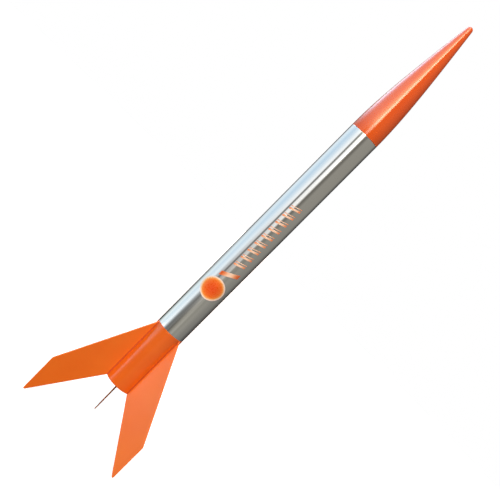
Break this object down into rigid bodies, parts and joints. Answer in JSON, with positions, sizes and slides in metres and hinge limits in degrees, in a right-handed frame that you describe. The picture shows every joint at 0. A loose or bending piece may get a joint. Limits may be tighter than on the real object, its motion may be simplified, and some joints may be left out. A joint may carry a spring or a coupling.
{
  "type": "model rocket",
  "caption": "Flying model rocket with a mirror-film body tube, tapered plastic nose cone, swept fins, and a packed parachute and motor inside.",
  "frame": {"origin": "on the tube's axis, in the plane of the three fin tips that the rocket stands on", "axes": "+Z along the axis to the nose tip; +Y along one fin's span"},
  "size_m": [0.1304, 0.1129, 0.5774],
  "materials": {
    "nose_plastic": "glossy blow-moulded polystyrene, orange-red",
    "fin_plastic": "satin moulded styrene sheet, orange-red",
    "can_plastic": "glossy moulded styrene, yellow-orange",
    "mirror_film_card": "spiral-wound card under a mirror-bright metallised film",
    "kraft_card": "wound kraft card, matt",
    "white_plastic": "thin extruded straw",
    "black_plastic": "moulded band",
    "spring_steel": "bright cold-rolled strip",
    "motor_paper": "convolute-wound paper, printed plain",
    "pressed_clay": "dry pressed clay",
    "propellant": "pressed black powder",
    "delay_grain": "pressed slow-burning powder",
    "brass_wire": "bright drawn wire",
    "canopy_film": "thin folded polyethylene film, orange and white",
    "line_thread": "twisted cotton thread",
    "elastic_braid": "flat braided elastic",
    "anchor_card": "folded card, glued",
    "wadding_paper": "soft flame-proof tissue",
    "decal_film": "thin printed self-adhesive film"
  },
  "bodies": {
    "airframe": {"body_tube": "mirror_film_card", "fin_can": "can_plastic", "fin_1": "fin_plastic", "fin_2": "fin_plastic", "fin_3": "fin_plastic", "launch_lug": "white_plastic", "motor_tube": "kraft_card", "rear_centering_ring": "kraft_card", "front_centering_ring": "kraft_card", "thrust_ring": "kraft_card", "hook_band": "black_plastic", "emblem_decal": "decal_film", "stripe_decal": "decal_film", "wadding_rear": "wadding_paper", "wadding_front": "wadding_paper", "shock_cord": "elastic_braid", "shock_cord_anchor": "anchor_card"},
    "nose": {"nose_cone": "nose_plastic", "nose_base_plug": "nose_plastic", "snap_swivel": "brass_wire"},
    "recovery_pack": {"parachute_canopy": "canopy_film", "shroud_lines": "line_thread"},
    "motor": {"motor_case": "motor_paper", "motor_nozzle": "pressed_clay", "motor_propellant": "propellant", "motor_delay": "delay_grain", "motor_end_cap": "pressed_clay"},
    "hook": {"engine_hook": "spring_steel"}
  },
  "joints": [
    {"name": "nose_slide", "type": "slide", "parent": "airframe", "child": "nose", "axis": [0, 0, 1], "range_m": [0, 0.3], "deforming": ["shock_cord"]},
    {"name": "pack_slide", "type": "slide", "parent": "nose", "child": "recovery_pack", "axis": [0, 0, -1], "range_m": [0, 0.12], "deforming": ["shroud_lines"]},
    {"name": "motor_slide", "type": "slide", "parent": "airframe", "child": "motor", "axis": [0, 0, -1], "range_m": [0, 0.08]},
    {"name": "hook_flex", "type": "hinge", "parent": "airframe", "child": "hook", "pos_m": [-0.0087, 0.00502, 0.13625], "axis": [0.5, 0.866, 0], "range_deg": [0, 2.5], "stiffness_Nm_per_rad": 1, "deforming": ["engine_hook"]}
  ],
  "couplings": [
    {"joint": "pack_slide", "follows": "nose_slide", "ratio": 0.4}
  ]
}
